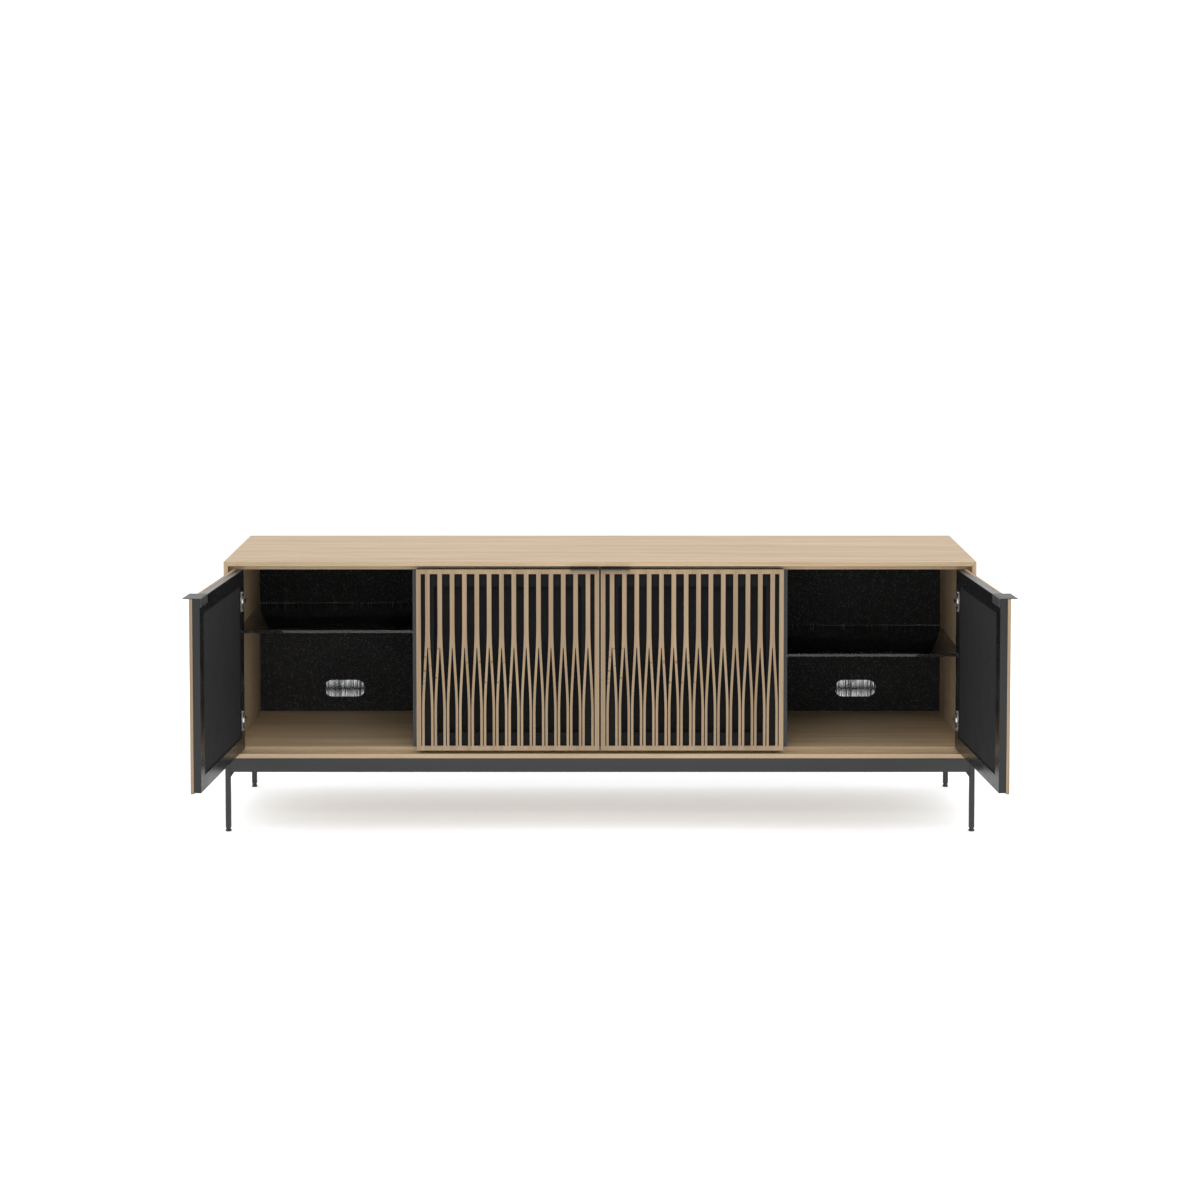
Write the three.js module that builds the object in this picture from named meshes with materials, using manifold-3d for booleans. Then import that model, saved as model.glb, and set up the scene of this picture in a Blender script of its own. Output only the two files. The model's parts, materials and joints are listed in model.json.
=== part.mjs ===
// Low media cabinet: a mitred oak case on a slender steel base, with four slatted oak doors.
// Units are millimetres, +Z is up, and the doors face -Y.
// The origin lies on the floor, under the middle of the whole object with its outer doors open.
import * as THREE from 'three';
import { mergeVertices } from 'three/addons/utils/BufferGeometryUtils.js';
import Module from 'manifold-3d';

const wasm = await Module();
wasm.setup();

// ---- driving dimensions -------------------------------------------------------------------

const seam = 0.3;                 // gap between pieces that touch

// Case
const caseWidth = 2012;
const caseDepth = 510;
const overallHeight = 730;
const caseBottom = 199;           // underside of the case above the floor
const topThickness = 25;
const floorThickness = 25;
const sideThickness = 28;
const lipThickness = 12;          // thin front edge that frames the doors
const partitionThickness = 20;
const centreDoorWidth = 489;

// Back
const backThickness = 12;
const backInset = 10;             // from the rear edge of the case to the back panels
const cableSlotWidth = 120;
const cableSlotHeight = 50;
const cableSlotRise = 65;         // from the case floor to the middle of the slot
const ventWidth = 240;
const ventHeight = 16;
const ventDrop = 36;              // from the ceiling to the middle of the vent
const notchDepth = 60;            // cable passage at the rear foot of each partition
const notchHeight = 70;

// Doors
const doorThickness = 27;
const doorBackGap = 3;            // from the back of a closed door to the step it faces
const doorSideGap = 2.5;
const doorGap = 4.7;              // between neighbouring doors
const doorTopGap = 9;             // finger gap under the top lip
const doorBottomGap = 9.4;
const openAngle = 94.3;           // degrees, where the hinges stop

// Door lattice
const latticeThickness = 8;
const stileWidth = 12;
const topRailHeight = 12;
const bottomRailHeight = 12;
const finCount = 14;
const finWidth = 11.9;
const prongWidth = 6.35;
const slitWidth = 2.7;            // between the prongs of neighbouring fins
const splayStart = 337.6;         // height above the door's lower edge where fins begin to spread
const splayEnd = 95.6;            // height where they run straight again
const crotchHeight = 277.6;       // height where a fin splits into two prongs
const splaySteps = 5;

// Door frame, cloth, pull
const frameBarWidth = 40;
const frameFootInset = 3;         // frame ends above the lattice's lower edge
const clothThickness = 2;
const clothRecess = 2.5;          // from the back of the frame to the cloth panel
const clothMargin = 7;            // of the panel, held by the frame's rebate
const pullLength = 77;
const pullThickness = 1.8;
const pullReach = 17;             // in front of the door
const pullDrop = 21;              // down the door's inner face

// Concealed cup hinges
const poleInset = 11.25;          // virtual hinge axis, from the door's hinged edge
const poleSetback = 0.73;         // behind the door's front face
const hingeEndDistance = 84;      // from a door's lower or upper edge
const cupRadius = 17.5;
const cupDepth = 11.5;
const cupWall = 2;
const cupEdgeDistance = 21.5;
const flangeWidth = 22;
const flangeHeight = 56;
const flangeThickness = 1.5;
const plateSetback = 37;          // from the wall's front edge to the mounting plate
const plateWidth = 20;
const plateHeight = 50;
const plateThickness = 2.5;
const armHeight = 13;
const armRise = 16;
const armTail = 24;               // behind the mounting plate's middle
const armNoseGap = 4;             // from the wall's front edge to the arm's nose

// Glass shelves
const shelfThickness = 8;
const shelfSideGap = 2;
const shelfFrontInset = 8;        // behind the front edge of the bay
const shelfBackGap = 5;
const holePitch = 32;
const firstHoleRise = 48.5;       // from the case floor to the lowest shelf hole
const shelfSteps = { left: 2, centre_left: 1, centre_right: 1, right: 0 };  // holes above the middle one
const pinRadius = 2.5;

// Steel base
const legWidth = 14;
const railHeight = 37.5;
const gussetWidth = 9.4;
const gussetHeight = 14.7;
const gussetThickness = 5;
const footHeight = 10;
const footRadius = 8;
const footNeckRadius = 5.5;
const stemRadius = 3.8;
const stemLength = 20;
const stemClearance = 0.4;
const boreSpare = 3;              // bore left above the stem
const roundSides = 16;

// ---- sizes that follow ----------------------------------------------------------------------

const halfWidth = caseWidth / 2;
const rabbetDepth = doorThickness + doorBackGap;
const ceiling = overallHeight - topThickness;
const caseFloor = caseBottom + floorThickness;
const doorBottom = caseBottom + lipThickness + doorBottomGap;
const doorTop = overallHeight - lipThickness - doorTopGap;
const doorHeight = doorTop - doorBottom;
const doorRun = halfWidth - lipThickness - doorSideGap;
const partitionX = centreDoorWidth + doorGap;
const outerDoorWidth = doorRun - partitionX - doorGap / 2;
const openRadians = THREE.MathUtils.degToRad(openAngle);
const bayWall = halfWidth - sideThickness;
const backFront = caseDepth - backInset - backThickness;
const middleHole = Math.round(((ceiling - caseFloor) / 2 - firstHoleRise) / holePitch);

// The open outer doors reach furthest forward, at their inner free corner. The rear feet, which
// are wider than the legs, reach furthest back. The case's front edge is set so that both reach
// equally far from the origin.
const freeReach = outerDoorWidth - poleInset;
const innerReach = doorThickness - poleSetback;
const doorReach = freeReach * Math.sin(openRadians) - innerReach * Math.cos(openRadians);
const rearReach = caseDepth - legWidth / 2 + footRadius;
const lipY = (doorReach - poleSetback - rearReach) / 2;

// ---- materials --------------------------------------------------------------------------------

function paint(color, roughness, metalness) {
  return new THREE.MeshStandardMaterial({ color, roughness, metalness });
}

const oak = paint('#c9ab84', 0.6, 0);
const blackLacquer = paint('#2b2b2d', 0.5, 0);
const acousticCloth = paint('#17171a', 0.95, 0);
const speckledBoard = paint('#1d1d1f', 0.85, 0);
const smokedGlass = paint('#3c3f41', 0.08, 0);
const greySteel = paint('#55575a', 0.5, 0.6);
const blackSteel = paint('#2c2d2f', 0.45, 0.6);
const nickel = paint('#b9bab8', 0.28, 1);

// ---- solids -------------------------------------------------------------------------------------

const axisX = new THREE.Vector3(1, 0, 0);
const axisY = new THREE.Vector3(0, 1, 0);
const axisZ = new THREE.Vector3(0, 0, 1);
const mergeTolerance = 1e-4;

function outline(points) {
  return new THREE.Shape(points.map(([a, b]) => new THREE.Vector2(a, b)));
}

function extrude(shape, length) {
  return new THREE.ExtrudeGeometry(shape, { depth: length, bevelEnabled: false });
}

// An outline in Y and Z, drawn out from x0 to x1.
function alongX(shape, x0, x1) {
  const turn = new THREE.Matrix4().makeBasis(axisY, axisZ, axisX);
  return extrude(shape, x1 - x0).applyMatrix4(turn).translate(x0, 0, 0);
}

// An outline in X and Z, drawn out from y0 to y1.
function alongY(shape, y0, y1) {
  const turn = new THREE.Matrix4().makeBasis(axisX, axisZ, axisY.clone().negate());
  return extrude(shape, y1 - y0).applyMatrix4(turn).translate(0, y1, 0);
}

// An outline in X and Y, drawn out from z0 to z1.
function alongZ(shape, z0, z1) {
  return extrude(shape, z1 - z0).translate(0, 0, z0);
}

function block(xs, ys, zs) {
  const low = new THREE.Vector3(Math.min(...xs), Math.min(...ys), Math.min(...zs));
  const high = new THREE.Vector3(Math.max(...xs), Math.max(...ys), Math.max(...zs));
  const size = high.clone().sub(low);
  const middle = low.add(high).multiplyScalar(0.5);
  return new THREE.BoxGeometry(size.x, size.y, size.z).translate(middle.x, middle.y, middle.z);
}

// A round bar along Y, centred on x and z.
function barAlongY(radius, x, z, y0, y1) {
  const bar = new THREE.CylinderGeometry(radius, radius, y1 - y0, roundSides);
  return bar.translate(x, (y0 + y1) / 2, z);
}

function toSolid(geometry) {
  const bare = geometry.clone();
  bare.deleteAttribute('normal');
  bare.deleteAttribute('uv');
  const merged = mergeVertices(bare, mergeTolerance);
  const vertProperties = new Float32Array(merged.attributes.position.array);
  const triVerts = new Uint32Array(merged.index.array);
  return new wasm.Manifold(new wasm.Mesh({ numProp: 3, vertProperties, triVerts }));
}

function toGeometry(solid) {
  const { vertProperties, triVerts } = solid.getMesh();
  const geometry = new THREE.BufferGeometry();
  geometry.setAttribute('position', new THREE.BufferAttribute(vertProperties, 3));
  geometry.setIndex(new THREE.BufferAttribute(triVerts, 1));
  geometry.computeVertexNormals();
  return geometry;
}

// The first geometry, joined with some and then cut by others.
function shaped(geometry, { joined = [], cut = [] }) {
  let solid = toSolid(geometry);
  for (const piece of joined) solid = solid.add(toSolid(piece));
  for (const piece of cut) solid = solid.subtract(toSolid(piece));
  return toGeometry(solid);
}

function addMesh(parent, name, geometry, material) {
  const mesh = new THREE.Mesh(geometry, material);
  mesh.name = name;
  parent.add(mesh);
  return mesh;
}

// ---- case ---------------------------------------------------------------------------------------

// Four panels are mitred where they meet. In front, each thins to a lip that frames the doors.

const overcut = 1;                // how far a joined stretch runs into its neighbour

// One end-mitred length of the top or the floor: outerZ is its outside face, innerZ its inside face.
function mitredSpan(outerZ, innerZ, sideInner, y0, y1) {
  const long = halfWidth - seam;
  const short = sideInner - seam;
  const points = [[-long, outerZ], [long, outerZ], [short, innerZ], [-short, innerZ]];
  return alongY(outline(points), y0, y1);
}

function horizontalPanel(outerZ, inward, thickness) {
  const lipInner = halfWidth - lipThickness;
  const lip = mitredSpan(outerZ, outerZ + inward * lipThickness, lipInner, 0, rabbetDepth);
  const board = mitredSpan(outerZ, outerZ + inward * thickness, bayWall, rabbetDepth, caseDepth);
  return shaped(board, { joined: [lip] });
}

function sideSpan(hand, thickness, upper, lower, y0, y1) {
  const outer = hand * halfWidth;
  const inner = hand * (halfWidth - thickness);
  const points = [[outer, overallHeight], [outer, caseBottom], [inner, lower], [inner, upper]];
  return alongY(outline(points), y0, y1);
}

function sidePanel(hand) {
  const lipUpper = overallHeight - lipThickness;
  const lipLower = caseBottom + lipThickness;
  const lip = sideSpan(hand, lipThickness, lipUpper, lipLower, 0, rabbetDepth);
  const board = sideSpan(hand, sideThickness, ceiling, caseFloor, rabbetDepth, caseDepth);
  return shaped(board, { joined: [lip] });
}

// A partition stands between floor and ceiling, from the doors to the back panels.
function partition(x) {
  const front = rabbetDepth + seam;
  const rear = backFront - seam;
  const low = caseFloor + seam;
  const high = ceiling - seam;
  const points = [
    [front, low], [rear - notchDepth, low], [rear - notchDepth, low + notchHeight],
    [rear, low + notchHeight], [rear, high], [front, high],
  ];
  return alongX(outline(points), x - partitionThickness / 2, x + partitionThickness / 2);
}

// A slot with round ends, as a hole for a panel drawn in X and Z.
function roundedSlot(x, z, width, height) {
  const radius = height / 2;
  const straight = width / 2 - radius;
  const slot = new THREE.Path();
  slot.absarc(x + straight, z, radius, -Math.PI / 2, Math.PI / 2);
  slot.absarc(x - straight, z, radius, Math.PI / 2, 1.5 * Math.PI);
  return slot;
}

const slotSteps = 6;

function backPanel(x0, x1) {
  const low = caseFloor + seam;
  const high = ceiling - seam;
  const middle = (x0 + x1) / 2;
  const panel = outline([[x0, low], [x1, low], [x1, high], [x0, high]]);
  panel.holes.push(roundedSlot(middle, caseFloor + cableSlotRise, cableSlotWidth, cableSlotHeight));
  panel.holes.push(roundedSlot(middle, ceiling - ventDrop, ventWidth, ventHeight));
  const settings = { depth: backThickness, bevelEnabled: false, curveSegments: slotSteps };
  const turn = new THREE.Matrix4().makeBasis(axisX, axisZ, axisY.clone().negate());
  const sheet = new THREE.ExtrudeGeometry(panel, settings);
  return sheet.applyMatrix4(turn).translate(0, backFront + backThickness, 0);
}

// A shelf lies on pins in one of the holes of the bay's walls.
function glassShelf(x0, x1, steps) {
  const under = caseFloor + firstHoleRise + (middleHole + steps) * holePitch + pinRadius;
  const front = rabbetDepth + shelfFrontInset;
  const rear = backFront - shelfBackGap;
  return block([x0 + shelfSideGap, x1 - shelfSideGap], [front, rear], [under, under + shelfThickness]);
}

function buildCase(parent) {
  addMesh(parent, 'top_panel', horizontalPanel(overallHeight, -1, topThickness), oak);
  addMesh(parent, 'floor_panel', horizontalPanel(caseBottom, 1, floorThickness), oak);
  addMesh(parent, 'left_side_panel', sidePanel(-1), oak);
  addMesh(parent, 'right_side_panel', sidePanel(1), oak);
  addMesh(parent, 'left_partition', partition(-partitionX), blackLacquer);
  addMesh(parent, 'centre_partition', partition(0), blackLacquer);
  addMesh(parent, 'right_partition', partition(partitionX), blackLacquer);

  const half = partitionThickness / 2;
  const bays = [
    { name: 'left', wall: [-bayWall, -partitionX - half], back: [-bayWall + seam, -partitionX - seam / 2] },
    { name: 'centre_left', wall: [-partitionX + half, -half], back: [-partitionX + seam / 2, -seam / 2] },
    { name: 'centre_right', wall: [half, partitionX - half], back: [seam / 2, partitionX - seam / 2] },
    { name: 'right', wall: [partitionX + half, bayWall], back: [partitionX + seam / 2, bayWall - seam] },
  ];
  for (const bay of bays) {
    addMesh(parent, `${bay.name}_back_panel`, backPanel(...bay.back), speckledBoard);
    addMesh(parent, `${bay.name}_shelf`, glassShelf(...bay.wall, shelfSteps[bay.name]), smokedGlass);
  }
}

// ---- steel base -----------------------------------------------------------------------------------

// A square leg with a plate gusset under each of the two rails that it joins.
function leg(handX, handY) {
  const outerX = handX * halfWidth;
  const innerX = handX * (halfWidth - legWidth);
  const outerY = handY < 0 ? 0 : caseDepth;
  const innerY = outerY - handY * legWidth;
  const top = caseBottom - seam;
  const gussetTop = caseBottom - railHeight - seam;
  const gussetFoot = gussetTop - gussetHeight;
  const post = block([outerX, innerX], [outerY, innerY], [footHeight, top]);

  const rootX = innerX + handX * overcut;
  const tipX = innerX - handX * gussetWidth;
  const midY = (outerY + innerY) / 2;
  const acrossPoints = [[rootX, gussetTop], [tipX, gussetTop], [innerX, gussetFoot], [rootX, gussetFoot]];
  const across = alongY(outline(acrossPoints), midY - gussetThickness / 2, midY + gussetThickness / 2);

  const rootY = innerY + handY * overcut;
  const tipY = innerY - handY * gussetWidth;
  const midX = (outerX + innerX) / 2;
  const alongPoints = [[rootY, gussetTop], [tipY, gussetTop], [innerY, gussetFoot], [rootY, gussetFoot]];
  const along = alongX(outline(alongPoints), midX - gussetThickness / 2, midX + gussetThickness / 2);

  const boreTop = footHeight + stemLength + boreSpare;
  const bore = new THREE.CylinderGeometry(
    stemRadius + stemClearance, stemRadius + stemClearance, boreTop - footHeight + overcut, roundSides);
  bore.rotateX(Math.PI / 2).translate(midX, midY, (boreTop + footHeight - overcut) / 2);
  return shaped(post, { joined: [across, along], cut: [bore] });
}

function levellingFoot(handX, handY) {
  const shoulder = footHeight - seam;
  const edge = 1;
  const profile = [
    [0, 0], [footRadius - edge, 0], [footRadius, edge], [footRadius, shoulder / 2],
    [footNeckRadius, shoulder / 2 + edge], [footNeckRadius, shoulder], [stemRadius, shoulder],
    [stemRadius, shoulder + stemLength], [0, shoulder + stemLength],
  ];
  const turned = new THREE.LatheGeometry(profile.map(([r, z]) => new THREE.Vector2(r, z)), roundSides);
  const x = handX * (halfWidth - legWidth / 2);
  const y = handY < 0 ? legWidth / 2 : caseDepth - legWidth / 2;
  return turned.rotateX(Math.PI / 2).translate(x, y, 0);
}

function buildBase(parent) {
  const railZ = [caseBottom - railHeight, caseBottom - seam];
  const railEndX = halfWidth - legWidth - seam;
  const railEndY = [legWidth + seam, caseDepth - legWidth - seam];
  const frontY = [0, legWidth];
  const rearY = [caseDepth - legWidth, caseDepth];
  addMesh(parent, 'front_rail', block([-railEndX, railEndX], frontY, railZ), greySteel);
  addMesh(parent, 'rear_rail', block([-railEndX, railEndX], rearY, railZ), greySteel);
  for (const [sideName, handX] of [['left', -1], ['right', 1]]) {
    const railX = [handX * halfWidth, handX * (halfWidth - legWidth)];
    addMesh(parent, `${sideName}_rail`, block(railX, railEndY, railZ), greySteel);
    for (const [endName, handY] of [['front', -1], ['rear', 1]]) {
      addMesh(parent, `${endName}_${sideName}_leg`, leg(handX, handY), greySteel);
      addMesh(parent, `${endName}_${sideName}_foot`, levellingFoot(handX, handY), blackSteel);
    }
  }
}

// ---- doors ------------------------------------------------------------------------------------------

// A door is drawn around its hinge axis. Across it, u runs from the hinged edge to the free edge;
// through it, v runs from the front face to the back; z is the height above its lower edge.
// hand is 1 for a door hinged on its left edge and -1 for one hinged on its right edge.

// Half the width of a fin, over both prongs, at a height on the door.
function finHalfWidth(z, spread) {
  const t = THREE.MathUtils.clamp((splayStart - z) / (splayStart - splayEnd), 0, 1);
  const smooth = t * t * (3 - 2 * t);
  return finWidth / 2 + (spread - finWidth / 2) * smooth;
}

// The oak face of a door: a frame of stiles and rails with the fins between them, cut from one board.
function lattice(width, place, y0, y1) {
  const pitch = (width - 2 * stileWidth - slitWidth) / finCount;
  const spread = (pitch - slitWidth) / 2;
  const slotTop = doorHeight - topRailHeight;
  const firstFin = stileWidth + slitWidth / 2 + pitch / 2;
  const curve = [];
  for (let step = 0; step <= splaySteps; step += 1) {
    curve.push(splayEnd + (splayStart - splayEnd) * step / splaySteps);
  }
  const heights = [bottomRailHeight, ...curve, slotTop];
  const cutter = (points) => {
    const placed = points.map(([u, z]) => [place(u), z]);
    return alongY(outline(placed), y0 - overcut, y1 + overcut);
  };
  const cut = [];

  for (let slot = 0; slot <= finCount; slot += 1) {
    const fin = firstFin + slot * pitch;
    const left = slot === 0
      ? [[stileWidth, bottomRailHeight], [stileWidth, slotTop]]
      : heights.map((z) => [fin - pitch + finHalfWidth(z, spread), z]);
    const right = slot === finCount
      ? [[width - stileWidth, bottomRailHeight], [width - stileWidth, slotTop]]
      : heights.map((z) => [fin - finHalfWidth(z, spread), z]);
    cut.push(cutter([...left, ...right.reverse()]));
  }

  const gap = (z) => finHalfWidth(z, spread) - prongWidth;
  const below = [bottomRailHeight, ...curve.filter((z) => z < crotchHeight), crotchHeight];
  for (let index = 0; index < finCount; index += 1) {
    const fin = firstFin + index * pitch;
    const left = below.map((z) => [fin - gap(z), z]);
    const right = below.map((z) => [fin + gap(z), z]);
    const tip = [fin, crotchHeight + gap(crotchHeight)];
    cut.push(cutter([...left, tip, ...right.reverse()]));
  }
  return shaped(block([place(0), place(width)], [y0, y1], [0, doorHeight]), { cut });
}

function buildDoor(parent, { name, width, hand, hingeX, angle }) {
  const door = new THREE.Group();
  door.position.set(hingeX + hand * poleInset, poleSetback, doorBottom);
  door.rotation.z = -hand * angle;
  parent.add(door);

  const u = (value) => hand * (value - poleInset);
  const v = (value) => value - poleSetback;
  const across = (low, high) => [u(low), u(high)];
  const through = (low, high) => [v(low), v(high)];

  addMesh(door, `${name}_lattice`, lattice(width, u, ...through(0, latticeThickness)), oak);

  const clothBack = doorThickness - clothRecess;
  const clothFront = clothBack - clothThickness;
  const window = (edge, v0, v1) => block(
    across(edge, width - edge), through(v0, v1), [edge, doorHeight - edge]);
  const cloth = window(frameBarWidth + seam, clothFront, clothBack);
  addMesh(door, `${name}_cloth`, cloth, acousticCloth);

  const rebate = window(frameBarWidth, clothFront - seam, doorThickness + overcut);
  const opening = window(frameBarWidth + clothMargin, 0, doorThickness + overcut);
  const hingeHeights = [hingeEndDistance, doorHeight - hingeEndDistance];
  const cupBores = hingeHeights.map((z) => barAlongY(
    cupRadius + seam, u(cupEdgeDistance), z,
    v(doorThickness - cupDepth - seam), v(doorThickness + overcut)));
  const frameFront = latticeThickness + seam;
  const board = block(across(0, width), through(frameFront, doorThickness), [frameFootInset, doorHeight]);
  const frame = shaped(board, { cut: [rebate, opening, ...cupBores] });
  addMesh(door, `${name}_frame`, frame, blackLacquer);

  const flangeFront = v(doorThickness + seam);
  hingeHeights.forEach((z, index) => {
    const cupU = u(cupEdgeDistance);
    const flange = block(
      [cupU - flangeWidth / 2, cupU + flangeWidth / 2], [flangeFront, flangeFront + flangeThickness],
      [z - flangeHeight / 2, z + flangeHeight / 2]);
    const cupFloor = v(doorThickness - cupDepth);
    const cup = barAlongY(cupRadius, cupU, z, cupFloor, flangeFront + flangeThickness);
    const hollow = barAlongY(
      cupRadius - cupWall, cupU, z, cupFloor + cupWall, flangeFront + flangeThickness + overcut);
    const level = index === 0 ? 'lower' : 'upper';
    addMesh(door, `${name}_${level}_hinge_cup`, shaped(flange, { joined: [cup], cut: [hollow] }), nickel);
  });

  const pullFoot = doorHeight + seam;
  const pullTop = pullFoot + pullThickness;
  const legFront = v(doorThickness + seam);
  const legBack = legFront + pullThickness;
  const legFoot = doorHeight - pullDrop;
  const bend = outline([
    [v(-pullReach), pullFoot], [legFront, pullFoot], [legFront, legFoot],
    [legBack, legFoot], [legBack, pullTop], [v(-pullReach), pullTop],
  ]);
  const pullEnds = [u(width - seam), u(width - seam - pullLength)].sort((a, b) => a - b);
  addMesh(door, `${name}_pull`, alongX(bend, ...pullEnds), blackSteel);
}

// The case half of a cup hinge: a cross-shaped mounting plate on the wall, and the arm on it.
function hingeArm(wallX, hand, z) {
  const front = rabbetDepth + armNoseGap;
  const plateY = rabbetDepth + plateSetback;
  const base = wallX + hand * seam;
  const x = (rise) => base + hand * rise;
  const plate = block(
    [x(0), x(plateThickness)], [plateY - plateWidth / 2, plateY + plateWidth / 2],
    [z - plateHeight / 2, z + plateHeight / 2]);
  const shoulder = plateY - plateWidth / 2;
  const tail = plateY + armTail;
  const noseRise = armRise / 4;
  const tailRise = armRise * 0.6;
  const armPoints = [
    [x(0), shoulder], [x(0), tail], [x(tailRise), tail],
    [x(armRise), shoulder], [x(armRise), front], [x(noseRise), front],
  ];
  const arm = alongZ(outline(armPoints), z - armHeight / 2, z + armHeight / 2);
  return shaped(plate, { joined: [arm] });
}

function buildDoors(parent) {
  const doors = [
    {
      name: 'left_door', width: outerDoorWidth, hand: 1, hingeX: -doorRun,
      wallX: -bayWall, angle: openRadians,
    },
    {
      name: 'centre_left_door', width: centreDoorWidth, hand: 1, hingeX: -partitionX + doorGap / 2,
      wallX: -partitionX + partitionThickness / 2, angle: 0,
    },
    {
      name: 'centre_right_door', width: centreDoorWidth, hand: -1, hingeX: partitionX - doorGap / 2,
      wallX: partitionX - partitionThickness / 2, angle: 0,
    },
    {
      name: 'right_door', width: outerDoorWidth, hand: -1, hingeX: doorRun,
      wallX: bayWall, angle: openRadians,
    },
  ];
  for (const door of doors) {
    buildDoor(parent, door);
    const lower = doorBottom + hingeEndDistance;
    const upper = doorTop - hingeEndDistance;
    addMesh(parent, `${door.name}_lower_hinge_arm`, hingeArm(door.wallX, door.hand, lower), nickel);
    addMesh(parent, `${door.name}_upper_hinge_arm`, hingeArm(door.wallX, door.hand, upper), nickel);
  }
}

// ---- assembly -----------------------------------------------------------------------------------------

const cabinet = new THREE.Group();
cabinet.position.y = lipY;
buildCase(cabinet);
buildBase(cabinet);
buildDoors(cabinet);

export default cabinet;
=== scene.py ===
"""The looks of a low media cabinet: mitred oak case, steel base, four slatted oak doors."""
import json
import math

import bmesh
import bpy
import numpy as np
from mathutils import Matrix, Vector


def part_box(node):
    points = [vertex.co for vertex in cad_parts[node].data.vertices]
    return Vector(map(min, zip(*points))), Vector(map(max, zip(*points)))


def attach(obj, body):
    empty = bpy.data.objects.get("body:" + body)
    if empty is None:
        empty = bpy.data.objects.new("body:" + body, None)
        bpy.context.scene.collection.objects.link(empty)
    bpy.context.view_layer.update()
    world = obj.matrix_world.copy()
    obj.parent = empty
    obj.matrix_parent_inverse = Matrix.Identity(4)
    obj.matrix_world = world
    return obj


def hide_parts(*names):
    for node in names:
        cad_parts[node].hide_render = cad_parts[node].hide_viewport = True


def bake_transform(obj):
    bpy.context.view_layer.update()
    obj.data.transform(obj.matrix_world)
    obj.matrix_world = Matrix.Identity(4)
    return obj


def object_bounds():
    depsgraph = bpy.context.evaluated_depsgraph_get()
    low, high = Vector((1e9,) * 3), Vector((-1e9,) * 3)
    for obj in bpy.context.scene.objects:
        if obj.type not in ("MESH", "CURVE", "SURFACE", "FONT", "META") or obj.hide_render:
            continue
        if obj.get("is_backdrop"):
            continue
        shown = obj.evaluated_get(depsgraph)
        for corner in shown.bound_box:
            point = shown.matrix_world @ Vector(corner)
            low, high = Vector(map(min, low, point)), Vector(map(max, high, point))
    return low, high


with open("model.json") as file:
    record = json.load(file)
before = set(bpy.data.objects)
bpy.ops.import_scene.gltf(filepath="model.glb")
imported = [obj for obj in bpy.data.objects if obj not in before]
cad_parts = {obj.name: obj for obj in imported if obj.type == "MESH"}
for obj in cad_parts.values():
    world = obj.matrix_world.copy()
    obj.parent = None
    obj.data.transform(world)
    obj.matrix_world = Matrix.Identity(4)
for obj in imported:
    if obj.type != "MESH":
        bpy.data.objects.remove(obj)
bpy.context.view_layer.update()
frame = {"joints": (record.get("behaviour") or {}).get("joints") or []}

# ---- Camera and studio ------------------------------------------------------------------------
# A long lens looks at the cabinet from in front, well above its top, in a white studio. The soft
# light comes from a wide panel overhead and the pale walls, and the floor is lit from below.

scene = bpy.context.scene
scene.view_settings.view_transform = "Standard"
case_low, case_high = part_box("floor_panel")[0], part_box("top_panel")[1]
case_front = case_low.y

camera_data = bpy.data.cameras.new("camera")
camera_data.lens = 73.19
camera_data.sensor_width = 36
camera_data.shift_y = -0.22
camera_data.clip_end = 100
camera = bpy.data.objects.new("camera", camera_data)
camera.location = (0, case_front - 6.470, 1.7025)
camera.rotation_euler = (math.radians(90 - 3.26), 0, 0)
scene.collection.objects.link(camera)
scene.camera = camera


def soft_light(name, size, place, target, watts):
    data = bpy.data.lights.new(name, "AREA")
    data.shape = "RECTANGLE"
    data.size, data.size_y = size
    data.energy = watts
    light = bpy.data.objects.new(name, data)
    light.location = place
    light.rotation_euler = (Vector(target) - Vector(place)).to_track_quat("-Z", "Y").to_euler()
    scene.collection.objects.link(light)


soft_light("overhead_panel", (4.5, 3.5), (0.0, -0.6, 3.6), (0, 0, 0), 30)
soft_light("front_panel", (3.0, 0.8), (0.0, -3.6, 2.9), (0, 0.2, 0.3), 26)
soft_light("left_panel", (2.5, 2.5), (-4.2, -3.0, 2.4), (0, 0, 0.4), 16)
soft_light("right_panel", (2.5, 2.5), (4.2, -3.0, 2.4), (0, 0, 0.4), 12)

world = bpy.data.worlds.new("studio")
world.use_nodes = True
world.node_tree.nodes["Background"].inputs["Color"].default_value = (1, 1, 1, 1)
world.node_tree.nodes["Background"].inputs["Strength"].default_value = 1.12
scene.world = world


def new_material(name, color, roughness, metallic=0.0):
    """A material with its Principled BSDF set, and that shader to build on."""
    material = bpy.data.materials.new(name)
    material.use_nodes = True
    shader = material.node_tree.nodes["Principled BSDF"]
    shader.inputs["Base Color"].default_value = (*color, 1)
    shader.inputs["Roughness"].default_value = roughness
    shader.inputs["Metallic"].default_value = metallic
    material.diffuse_color = (*color, 1)
    return material, shader


def link_mesh(name, mesh):
    piece = bpy.data.objects.new(name, mesh)
    scene.collection.objects.link(piece)
    return piece


floor_mesh = bpy.data.meshes.new("studio_floor")
floor_half = 30.0
floor_mesh.from_pydata(
    [(x * floor_half, y * floor_half, 0) for x, y in ((-1, -1), (1, -1), (1, 1), (-1, 1))],
    [], [(0, 1, 2, 3)])
paper, paper_shader = new_material("studio_paper", (0.9, 0.9, 0.9), 0.9)
paper_shader.inputs["Emission Color"].default_value = (0.86, 0.94, 1.0, 1)
paper_shader.inputs["Emission Strength"].default_value = 0.30
floor_mesh.materials.append(paper)
studio_floor = link_mesh("studio_floor", floor_mesh)
studio_floor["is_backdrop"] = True

# ---- Oak case ---------------------------------------------------------------------------------
# Four boards of oak veneer, mitred at the corners so that the grain runs round the case. In front
# they thin to a lip, so that the doors sit inside. The arrises are eased with fine paper.


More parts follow.
